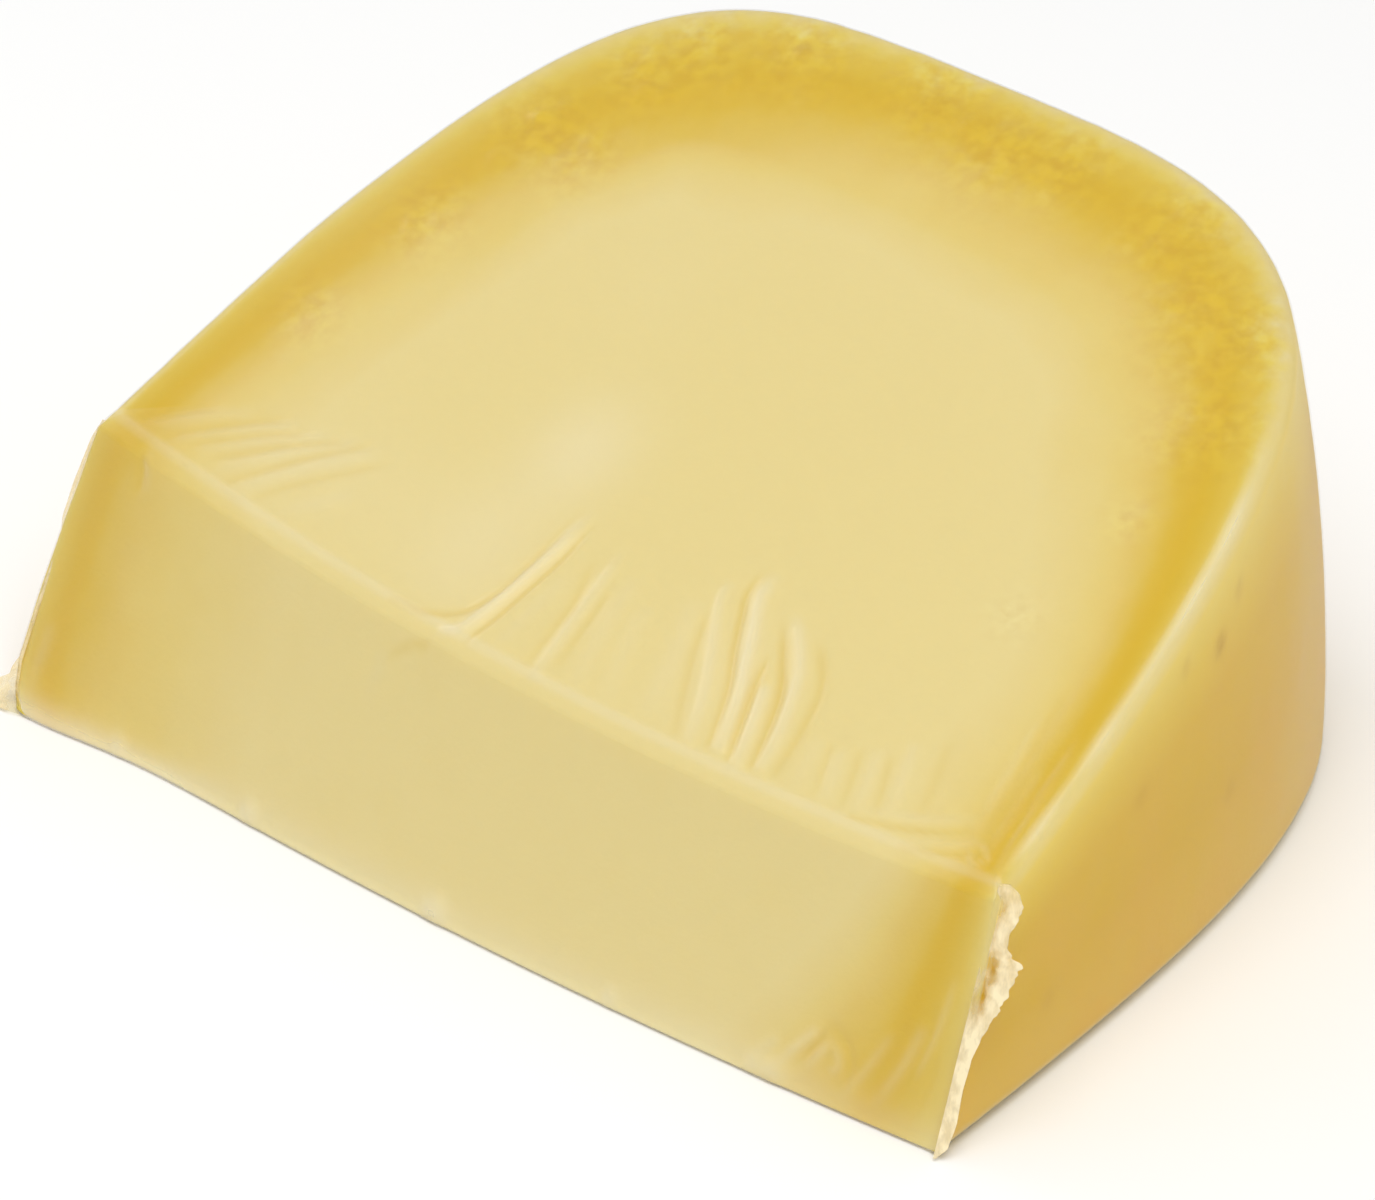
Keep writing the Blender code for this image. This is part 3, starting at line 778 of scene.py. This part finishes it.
def closed_mesh(name, first, rings, last):
    """A mesh object in metres from rings of places in millimetres: a quad between each two columns of each
    two rings, and a fan of triangles to the first and to the last place."""
    ring_count, column_count = rings.shape[:2]
    points = np.concatenate([[first], rings.reshape(-1, 3), [last]]) * MM
    index = 1 + np.arange(ring_count * column_count).reshape(ring_count, column_count)
    after = np.roll(index, -1, axis=1)
    quads = np.stack([index[:-1], after[:-1], after[1:], index[1:]], axis=-1).reshape(-1, 4)
    low = np.stack([np.zeros_like(index[0]), after[0], index[0]], axis=-1)
    high = np.stack([index[-1], after[-1], np.full_like(index[0], len(points) - 1)], axis=-1)
    corners = np.concatenate([quads.ravel(), low.ravel(), high.ravel()]).astype(np.int32)
    sizes = np.concatenate([np.full(len(quads), 4), np.full(len(low) + len(high), 3)]).astype(np.int32)
    mesh = bpy.data.meshes.new(name)
    mesh.vertices.add(len(points))
    mesh.vertices.foreach_set("co", points.astype(np.float32).ravel())
    mesh.loops.add(len(corners))
    mesh.loops.foreach_set("vertex_index", corners)
    mesh.polygons.add(len(sizes))
    mesh.polygons.foreach_set("loop_start", np.concatenate([[0], np.cumsum(sizes)[:-1]]).astype(np.int32))
    mesh.update(calc_edges=True)
    if mesh.validate():
        raise RuntimeError(f"{name} came out with faulty faces")
    mesh.shade_smooth()
    piece = bpy.data.objects.new(name, mesh)
    bpy.context.scene.collection.objects.link(piece)
    return piece


def set_attribute(piece, name, rings, first, last):
    """Gives each vertex a number that the material reads by that name."""
    values = np.concatenate([[first], np.asarray(rings, float).ravel(), [last]]).astype(np.float32)
    attribute = piece.data.attributes.new(name, "FLOAT", "POINT")
    attribute.data.foreach_set("value", values)


def add(tree, kind, inputs=None, stops=None, **settings):
    """Adds a shader node with its settings. Each input takes a value, or the socket that feeds it, and stops
    are a colour ramp's places and colours."""
    node = tree.nodes.new("ShaderNode" + kind)
    for name, value in settings.items():
        setattr(node, name, value)
    for name, value in (inputs or {}).items():
        if isinstance(value, bpy.types.NodeSocket):
            tree.links.new(value, node.inputs[name])
        else:
            node.inputs[name].default_value = value
    if stops:
        ramp = node.color_ramp.elements
        ramp.remove(ramp[-1])
        ramp[0].position = stops[0][0]
        for position, _ in stops[1:]:
            ramp.new(position)
        for element, (_, colour) in zip(ramp, stops):
            element.color = (*colour, 1.0)
    return node


def new_material(name):
    """An empty node material and its tree."""
    material = bpy.data.materials.new(name)
    material.use_nodes = True
    material.node_tree.nodes.clear()
    return material, material.node_tree


def gouda_paste(colours):
    """Gouda: pressed and ripened curd, a dense and fatty paste that a wire has cut smooth.

    It is pale inside and golden beside its thin ochre rind. Light goes some millimetres into it, so its edges
    glow and its shading is soft, and its own surface is nearly matt, as the gloss comes from the film."""
    material, tree = new_material("gouda_paste_and_rind")
    here = add(tree, "TexCoord").outputs["Object"]
    number = {}
    for name in ("band", "rind", "spots", "below", "groove", "patch"):
        number[name] = add(tree, "Attribute", attribute_name=name).outputs["Fac"]
    noise = {}
    for name, (size, detail) in PATTERNS.items():
        inputs = {"Vector": here, "Scale": 1 / MM / size, "Detail": detail}
        noise[name] = add(tree, "TexNoise", inputs).outputs[0]

    # The ripe band's depth is moved about by clouds, and among the blisters by crumbs
    clouds = add(tree, "Math", {0: noise["clouds"], 1: 0.5}, operation="SUBTRACT").outputs[0]
    clouds = add(tree, "Math", {0: clouds, 1: 0.35, 2: 1.0}, operation="MULTIPLY_ADD").outputs[0]
    crumbs = add(tree, "Math", {0: noise["crumbs"], 1: 0.48}, operation="SUBTRACT").outputs[0]
    crumbs = add(tree, "Math", {0: crumbs, 1: number["patch"]}, operation="MULTIPLY").outputs[0]
    crumbs = add(tree, "Math", {0: crumbs, 1: 0.19}, operation="MULTIPLY").outputs[0]
    inputs = {0: number["band"], 1: clouds, 2: crumbs}
    depth = add(tree, "Math", inputs, operation="MULTIPLY_ADD").outputs[0]
    stops = [(at / BAND_END, linear(shade)) for at, shade in BAND_COLOURS] + [(1.0, tuple(colours.paste))]
    across = add(tree, "ValToRGB", {"Fac": depth}, stops=stops).outputs["Color"]

    # Crinkles of the film show among the blisters, and the grooves are darkened with painted shade
    # The film's crinkles are drawn as light and dark speckle in the colour: painted glints and shade
    inputs = {"Value": noise["crinkles"], "From Min": 0.36, "From Max": 0.64, "To Min": 0.1, "To Max": 0.9}
    crinkles = add(tree, "MapRange", inputs).outputs[0]
    share = add(tree, "Math", {0: number["patch"], 1: 0.12}, operation="MULTIPLY").outputs[0]
    inputs = {0: share, FIRST: across, SECOND: crinkles}
    speckled = add(tree, "Mix", inputs, data_type="RGBA", blend_type="OVERLAY").outputs[MIXED]
    # Painted shade in the film's grooves
    groove_shade = add(tree, "Math", {0: number["groove"], 1: 0.75}, operation="MULTIPLY").outputs[0]
    inputs = {0: groove_shade, FIRST: speckled, SECOND: (*linear("#cfb04c"), 1.0)}
    paste = add(tree, "Mix", inputs, data_type="RGBA").outputs[MIXED]

    # The rind has painted light towards the upper cut and painted shade further down, with rosy mottling that
    # gets stronger downwards, and spots
    stops = [(at, linear(shade)) for at, shade in RIND_COLOURS]
    down = add(tree, "ValToRGB", {"Fac": number["below"]}, stops=stops).outputs["Color"]
    inputs = {"Value": noise["mottling"], "From Min": 0.42, "From Max": 0.62, "To Max": 0.6}
    rosy = add(tree, "MapRange", inputs).outputs[0]
    rosy = add(tree, "Math", {0: rosy, 1: number["below"]}, operation="MULTIPLY").outputs[0]
    inputs = {0: rosy, FIRST: down, SECOND: (*colours.rosy, 1.0)}
    mottled = add(tree, "Mix", inputs, data_type="RGBA").outputs[MIXED]
    brown = add(tree, "Math", {0: number["spots"], 1: 0.5}, operation="MULTIPLY").outputs[0]
    inputs = {0: brown, FIRST: mottled, SECOND: (*linear("#a4600f"), 1.0)}
    rind = add(tree, "Mix", inputs, data_type="RGBA").outputs[MIXED]

    inputs = {0: number["rind"], FIRST: paste, SECOND: rind}
    colour = add(tree, "Mix", inputs, data_type="RGBA").outputs[MIXED]
    inputs = {"Height": noise["grain"], "Strength": 0.08, "Distance": 0.0004}
    bump = add(tree, "Bump", inputs).outputs["Normal"]
    shader = add(
        tree,
        "BsdfPrincipled",
        {
            "Base Color": colour,
            "Roughness": 0.42,
            "IOR": 1.45,
            "Specular IOR Level": 0.1,
            "Subsurface Weight": 0.35,
            "Subsurface Radius": (1.0, 0.62, 0.22),
            "Subsurface Scale": 0.004,
            "Normal": bump,
        },
        subsurface_method="BURLEY",
    )
    add(tree, "OutputMaterial", {"Surface": shader.outputs[0]})
    return material


def shrink_film():
    """Polyolefin shrink film: blown thin and clear, and heated until it clings.

    It gives a soft gloss over the cheese, most where it is seen edge-on, and is milky where it is folded; its
    haze also paints in highlights on the folds and edges and a soft sheen on the upper cut. It is so thin
    that it doesn't bend the light, so it is a transparent layer with a haze and a gloss."""
    material, tree = new_material("clear_shrink_film")
    haze = add(tree, "Attribute", attribute_name="haze").outputs["Fac"]
    clear = add(tree, "BsdfTransparent").outputs[0]
    milky = add(tree, "BsdfDiffuse", {"Color": (0.9, 0.88, 0.8, 1.0)}).outputs[0]
    body = add(tree, "MixShader", {0: haze, 1: clear, 2: milky}).outputs[0]
    gloss = add(tree, "BsdfGlossy", {"Roughness": 0.26}).outputs[0]
    # The film's own index is about 1.5, and a lower one gives the gloss as soft as it is
    edge_on = add(tree, "Fresnel", {"IOR": 1.35}).outputs[0]
    least = add(tree, "Math", {0: edge_on, 1: 0.3}, operation="MINIMUM").outputs[0]
    shine = add(tree, "Attribute", attribute_name="shine").outputs["Fac"]
    share = add(tree, "Math", {0: least, 1: shine}, operation="MULTIPLY").outputs[0]
    shader = add(tree, "MixShader", {0: share, 1: body, 2: gloss}).outputs[0]
    add(tree, "OutputMaterial", {"Surface": shader})
    return material


def welded_film():
    """Welded shrink film: two sheets melted together by a hot wire and crinkled as they shrink.

    It is thicker than the skin and milky in creamy streaks along its length, clear between; the streaks also
    paint in the glints it catches."""
    material, tree = new_material("welded_film")
    here = add(tree, "TexCoord").outputs["Object"]
    drawn = add(tree, "Mapping", {"Vector": here, "Scale": (1.0, 1.0, FIBRE_STRETCH)}).outputs[0]
    inputs = {"Vector": drawn, "Scale": 1 / MM / FIBRE_SIZE, "Detail": 3.0}
    fibres = add(tree, "TexNoise", inputs).outputs["Fac"]
    inputs = {"Value": fibres, "From Min": 0.36, "From Max": 0.62, "To Min": -0.24, "To Max": 0.20}
    spread = add(tree, "MapRange", inputs).outputs[0]
    milk = add(tree, "Attribute", attribute_name="milk").outputs["Fac"]
    share = add(tree, "Math", {0: milk, 1: spread}, operation="ADD", use_clamp=True).outputs[0]
    clear = add(tree, "BsdfTransparent", {"Color": (0.96, 0.94, 0.86, 1.0)}).outputs[0]
    milky = add(
        tree, "BsdfPrincipled", {"Base Color": (*linear("#fbeabf"), 1.0), "Roughness": 0.25}
    ).outputs[0]
    shader = add(tree, "MixShader", {0: share, 1: clear, 2: milky}).outputs[0]
    add(tree, "OutputMaterial", {"Surface": shader})
    return material


def dress(piece, material):
    """Gives the piece its material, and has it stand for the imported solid."""
    piece.data.materials.append(material)
    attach(piece, "root")
    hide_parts("gouda_in_film")


class GOUDA_OT_cheese(bpy.types.Operator):
    """Make the cheese itself"""

    bl_idname = "gouda.cheese"
    bl_label = "Cheese"

    def execute(self, context):
        sizes, colours = context.scene.gouda_sizes, context.scene.gouda_colours
        wheel = Wheel(sizes)
        surface = Surface(wheel)
        height, _, groove, patch = relief(wheel, surface, sizes)
        gap = sizes.film_gap / MM
        rings = surface.points + surface.normals * (height - gap)[..., None]
        up = surface.normals[-1].mean(axis=0)
        piece = closed_mesh("cheese", surface.first + (0, 0, gap), rings, surface.last - up * gap)
        rind = np.where(surface.on_nose, 0.0, surface.wall)
        below = np.clip(1 - surface.angle / wheel.sector, 0, 1)
        for name, values, middle in (
            ("band", band(wheel, surface) / BAND_END, 1.0),
            ("rind", rind, 0.0),
            ("spots", spots(surface), 0.0),
            ("below", below, 0.0),
            ("groove", groove, 0.0),
            ("patch", patch, 0.0),
        ):
            set_attribute(piece, name, values, middle, middle)
        dress(piece, gouda_paste(colours))
        return {"FINISHED"}


class GOUDA_OT_film(bpy.types.Operator):
    """Draw the film tight over the cheese"""

    bl_idname = "gouda.film"
    bl_label = "Film skin"

    def execute(self, context):
        sizes = context.scene.gouda_sizes
        wheel = Wheel(sizes)
        surface = Surface(wheel)
        height, ridge, groove, patch = relief(wheel, surface, sizes)
        rings = surface.points + surface.normals * (height * FILM_RELIEF)[..., None]
        piece = closed_mesh("film_skin", surface.first, rings, surface.last)
        set_attribute(piece, "haze", film_haze(surface, ridge, groove, patch), CLEAR_HAZE, CLEAR_HAZE)
        shine = 1 - RIND_SHINE_LOST * np.where(surface.on_nose, 0.0, surface.wall)
        set_attribute(piece, "shine", shine, 1.0, 1.0)
        dress(piece, shrink_film())
        piece.visible_shadow = False
        piece.visible_diffuse = False
        return {"FINISHED"}


def weld(name, corner, outward, stops, ripple, seed):
    """A strip of film along a corner: at each share up it, a flat ellipse reaches from its root inside the
    corner to the width of its stops outside it, and waves from side to side by seeded sine waves that grow
    towards its free edge.

    It is loose where it is wider than 0.6 mm, and wholly so from 2.1 mm. There its edge is more ragged, it
    waves more, and near its root it is clearer than its stops say."""
    rng = np.random.default_rng(seed)
    up = np.linspace(0.004, 0.996, WELD_RINGS)[:, None]
    shares = np.linspace(0, 1, len(corner))
    line = np.stack([np.interp(up[:, 0], shares, corner[:, i]) for i in range(3)], axis=1)[:, None]
    rise = corner[-1] - corner[0]
    outward = np.array(outward) / np.linalg.norm(outward)
    normal = np.cross(rise, outward)
    normal /= np.linalg.norm(normal)
    turn = np.linspace(0, 2 * math.pi, WELD_COLUMNS, endpoint=False)[None, :]
    out = (1 - np.cos(turn)) / 2
    width = profile(up, stops, 1)
    loose = np.clip((width - 0.6) / 1.5, 0, 1)
    notches = np.sin(131 * up + 3 * np.sin(41 * up)) * np.sin(97 * up + 1.0)
    ragged = 1 + (0.03 + 0.04 * loose) * notches
    reach = out * (WELD_ROOT + width * ragged) - WELD_ROOT
    wave = sum(
        rng.uniform(0.1, 0.4) * np.sin(k * up + rng.uniform(0, 6) + rng.uniform(1, 4) * out)
        for k in rng.uniform(9, 70, size=7)
    )
    aside = ripple * (0.15 + loose) * wave * out**2 - WELD_HALF_THICKNESS * np.sin(turn)
    rings = line + reach[..., None] * outward + aside[..., None] * normal
    piece = closed_mesh(name, rings[0].mean(axis=0), rings, rings[-1].mean(axis=0))
    milk = profile(up, stops, 2) * (1 - loose * (1 - np.clip((out - 0.35) / 0.25, 0.12, 1)))
    set_attribute(piece, "milk", milk, milk[0, 0], milk[-1, 0])
    return piece


def profile(up, stops, column):
    """A column of the stops (share up, width, milkiness) read off between them, eased by f^2 (3 - 2 f) so
    that it has no corners."""
    table = np.array(stops)
    at, value = table[:, 0], table[:, column]
    i = np.clip(np.searchsorted(at, up, side="right") - 1, 0, len(at) - 2)
    f = (up - at[i]) / (at[i + 1] - at[i])
    return value[i] + (value[i + 1] - value[i]) * f * f * (3 - 2 * f)


class GOUDA_OT_welds(bpy.types.Operator):
    """Make the film's two welded seams, one up each side of the nose cut"""

    bl_idname = "gouda.welds"
    bl_label = "Film seams"

    def execute(self, context):
        wheel = Wheel(context.scene.gouda_sizes)
        material = welded_film()
        for name, side, reach_up, outward, stops, ripple, seed in WELDS:
            angles = np.linspace(0, reach_up * wheel.sector, WELD_CORNERS)
            corner = []
            for angle in angles:
                lengths = wheel.corner_lengths(lambda r: angle)
                corner.append(wheel.place(*wheel.on_section(lengths)[0][side], angle))
            piece = weld(name, np.array(corner), outward, stops, ripple, seed)
            dress(piece, material)
        return {"FINISHED"}


class GOUDA_OT_stage(bpy.types.Operator):
    """Set the floor, the lights and the camera"""

    bl_idname = "gouda.stage"
    bl_label = "Stage"

    def execute(self, context):
        make_floor()
        make_lights(context.scene)
        make_camera(context.scene)
        return {"FINISHED"}


def make_floor():
    """A plain pale floor, a square with its middle at the origin."""
    mesh = bpy.data.meshes.new("floor")
    corners = np.array([(-1, -1, 0), (1, -1, 0), (1, 1, 0), (-1, 1, 0)], float) * FLOOR_REACH
    mesh.from_pydata(corners - (0, 0, FLOOR_DROP), [], [(0, 1, 2, 3)])
    floor = bpy.data.objects.new("floor", mesh)
    bpy.context.scene.collection.objects.link(floor)
    # Studio paper: pressed and uncoated, so it is matt and nearly white
    material, tree = new_material("matt_white_paper")
    shader = add(
        tree, "BsdfPrincipled", {"Base Color": (*linear("#fbfbfa"), 1.0), "Roughness": 0.9}
    ).outputs[0]
    add(tree, "OutputMaterial", {"Surface": shader})
    mesh.materials.append(material)


def make_lights(scene):
    """Soft studio light: a large softbox above the front, a small low one on the left that the folds catch,
    and a white room."""
    for name, direction, distance, size, power in LAMPS:
        light = bpy.data.lights.new(name, "AREA")
        light.shape = "SQUARE"
        light.size = size
        light.energy = power
        lamp = bpy.data.objects.new(name, light)
        scene.collection.objects.link(lamp)
        away = Vector(direction).normalized()
        lamp.location = LAMPS_AIM + away * distance
        lamp.rotation_euler = away.to_track_quat("Z", "Y").to_euler()
    world = bpy.data.worlds.new("white_room")
    scene.world = world
    world.use_nodes = True
    room = world.node_tree.nodes["Background"]
    room.inputs["Color"].default_value = (1.0, 1.0, 1.0, 1.0)
    room.inputs["Strength"].default_value = ROOM_BRIGHTNESS
    scene.view_settings.view_transform = "Standard"


def make_camera(scene):
    """A camera at the photograph's viewing angle."""
    camera = bpy.data.cameras.new("camera")
    camera.lens = CAMERA_LENS
    camera.sensor_width = CAMERA_SENSOR
    camera.clip_start = CAMERA_NEAREST
    holder = bpy.data.objects.new("camera", camera)
    scene.collection.objects.link(holder)
    flat = math.cos(CAMERA_ELEVATION)
    back = Vector(
        (math.sin(CAMERA_AZIMUTH) * flat, -math.cos(CAMERA_AZIMUTH) * flat, math.sin(CAMERA_ELEVATION))
    )
    holder.location = CAMERA_TARGET + back * CAMERA_DISTANCE
    holder.rotation_mode = "QUATERNION"
    holder.rotation_quaternion = (-back).to_track_quat("-Z", "Y")
    scene.camera = holder


class GOUDA_PT_panel(bpy.types.Panel):
    """The gouda's pieces, in the 3D view's sidebar"""

    bl_idname = "GOUDA_PT_panel"
    bl_label = "Gouda in film"
    bl_space_type = "VIEW_3D"
    bl_region_type = "UI"
    bl_category = "Gouda"

    def draw(self, context):
        for group in (context.scene.gouda_sizes, context.scene.gouda_colours):
            for name in type(group).__annotations__:
                self.layout.prop(group, name)
        for operator in OPERATORS:
            self.layout.operator(operator.bl_idname)


OPERATORS = (GOUDA_OT_cheese, GOUDA_OT_film, GOUDA_OT_welds, GOUDA_OT_stage)
CLASSES = (GoudaSizes, GoudaColours, *OPERATORS, GOUDA_PT_panel)


def register():
    """Registers the classes and gives the scene its sizes and colours."""
    for kind in CLASSES:
        bpy.utils.register_class(kind)
    bpy.types.Scene.gouda_sizes = bpy.props.PointerProperty(type=GoudaSizes)
    bpy.types.Scene.gouda_colours = bpy.props.PointerProperty(type=GoudaColours)


def unregister():
    """Takes them away again."""
    del bpy.types.Scene.gouda_colours
    del bpy.types.Scene.gouda_sizes
    for kind in reversed(CLASSES):
        bpy.utils.unregister_class(kind)


def main():
    """Makes every piece and the stage."""
    register()
    bpy.ops.gouda.cheese()
    bpy.ops.gouda.film()
    bpy.ops.gouda.welds()
    bpy.ops.gouda.stage()


if __name__ == "__main__":
    main()
